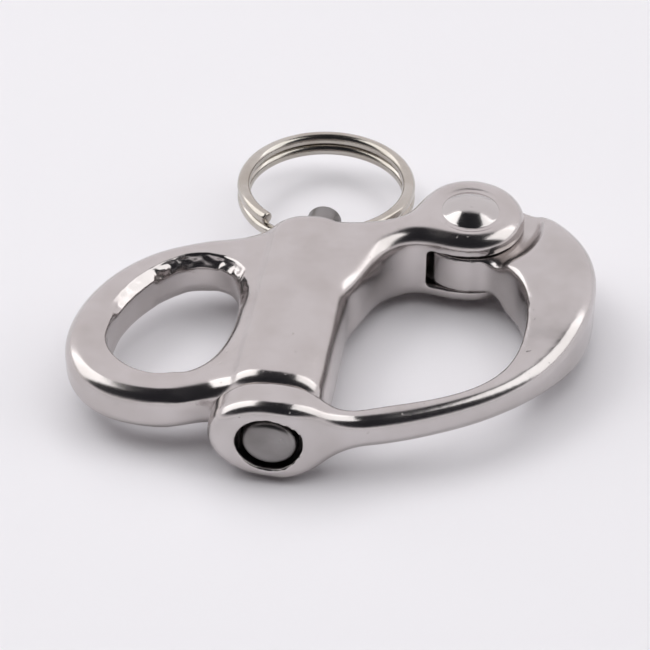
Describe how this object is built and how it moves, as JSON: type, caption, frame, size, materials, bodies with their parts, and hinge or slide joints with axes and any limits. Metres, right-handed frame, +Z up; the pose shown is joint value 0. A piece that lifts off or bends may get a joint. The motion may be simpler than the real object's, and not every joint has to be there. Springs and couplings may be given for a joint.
{
  "type": "snap shackle",
  "caption": "Quick-release snap shackle: a fixed eye cast in one with a spring-plunger barrel and fork, a hinged bow that the plunger locks, and a split pull ring.",
  "frame": {"origin": "bottom centre of the bounding box of the closed shackle lying flat, with the pull ring nearly level", "axes": "+X from the fixed eye to the hinged bow, +Y along the plunger from its nose to the pull ring, +Z up, square to the mid-plane of the castings"},
  "size_m": [0.066, 0.0636, 0.0135],
  "materials": {
    "casting": "mirror-polished cast stainless steel",
    "jaw": "mirror-polished cast stainless steel",
    "rivet": "polished stainless steel",
    "plunger": "turned stainless steel, fine satin face",
    "spring": "drawn stainless spring wire",
    "ring": "polished stainless wire"
  },
  "bodies": {
    "casting": {"body_casting": "casting", "hinge_rivet": "rivet", "plunger_spring": "spring"},
    "jaw": {"jaw": "jaw"},
    "plunger": {"plunger": "plunger"},
    "ring": {"pull_ring": "ring"}
  },
  "joints": [
    {"name": "jaw_hinge", "type": "hinge", "parent": "casting", "child": "jaw", "pos_m": [0.01538, 0.01057, 0.00675], "axis": [0, 0, 1], "range_deg": [0, 105]},
    {"name": "plunger_slide", "type": "slide", "parent": "casting", "child": "plunger", "axis": [0, 1, 0], "range_m": [0, 0.0055], "stiffness_N_per_m": 2500, "springref_m": -0.004, "deforming": ["plunger_spring"]},
    {"name": "ring_swing", "type": "hinge", "parent": "plunger", "child": "ring", "pos_m": [-0.00448, 0.00826, 0.00675], "axis": [1, 0, 0], "range_deg": [-60, 60]}
  ]
}
